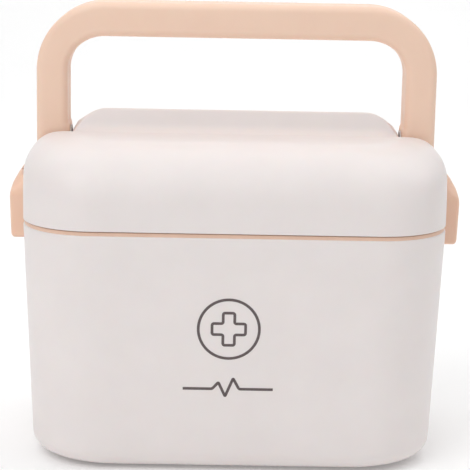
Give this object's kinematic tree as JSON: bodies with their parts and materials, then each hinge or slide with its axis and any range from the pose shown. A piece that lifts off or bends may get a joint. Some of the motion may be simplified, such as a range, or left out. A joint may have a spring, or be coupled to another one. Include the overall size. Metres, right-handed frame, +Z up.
{
  "type": "medicine box",
  "caption": "Portable household medicine box with a hinged lid, a fold-back carrying handle, side latches and a lift-out compartment tray",
  "frame": {"origin": "middle of the base, on the surface that the feet stand on", "axes": "+X to the box's right as seen from its front, +Y to the rear, +Z up; the front faces -Y"},
  "size_m": [0.27, 0.1755, 0.2675],
  "materials": {
    "white_plastic": "warm white satin polypropylene",
    "peach_plastic": "pale peach satin polypropylene",
    "peach_rubber": "pale peach silicone",
    "foot_rubber": "dark grey soft rubber",
    "steel": "zinc-plated steel"
  },
  "bodies": {
    "box": {"body_shell": "white_plastic", "rim_seal": "peach_rubber", "lower_divider": "peach_plastic", "foot_front_left": "foot_rubber", "foot_front_right": "foot_rubber", "foot_rear_left": "foot_rubber", "foot_rear_right": "foot_rubber", "hinge_pin_left": "steel", "hinge_pin_right": "steel"},
    "lid": {"lid_shell": "white_plastic", "pivot_pin_left": "steel", "pivot_pin_right": "steel", "pivot_clip_left": "steel", "pivot_clip_right": "steel", "latch_pin_left": "steel", "latch_pin_right": "steel"},
    "handle": {"handle_front": "peach_plastic", "handle_back": "peach_plastic", "handle_screws": "steel", "pivot_washer_left": "steel", "pivot_washer_right": "steel"},
    "latch_left": {"latch_left": "peach_plastic"},
    "latch_right": {"latch_right": "peach_plastic"},
    "tray": {"tray": "peach_plastic", "tray_divider_left": "white_plastic", "tray_divider_right": "white_plastic"}
  },
  "joints": [
    {"name": "lid_hinge", "type": "hinge", "parent": "box", "child": "lid", "pos_m": [0, 0.088, 0.14275], "axis": [-1, 0, 0], "range_deg": [0, 100]},
    {"name": "handle_pivot", "type": "hinge", "parent": "lid", "child": "handle", "pos_m": [0, 0, 0.1835], "axis": [-1, 0, 0], "range_deg": [0, 90]},
    {"name": "latch_left_pivot", "type": "hinge", "parent": "lid", "child": "latch_left", "pos_m": [-0.1278, 0, 0.1609], "axis": [0, 1, 0], "range_deg": [0, 45]},
    {"name": "latch_right_pivot", "type": "hinge", "parent": "lid", "child": "latch_right", "pos_m": [0.1278, 0, 0.1609], "axis": [0, -1, 0], "range_deg": [0, 45]},
    {"name": "tray_lift", "type": "slide", "parent": "box", "child": "tray", "axis": [0, 0, 1], "range_m": [0, 0.015]}
  ]
}
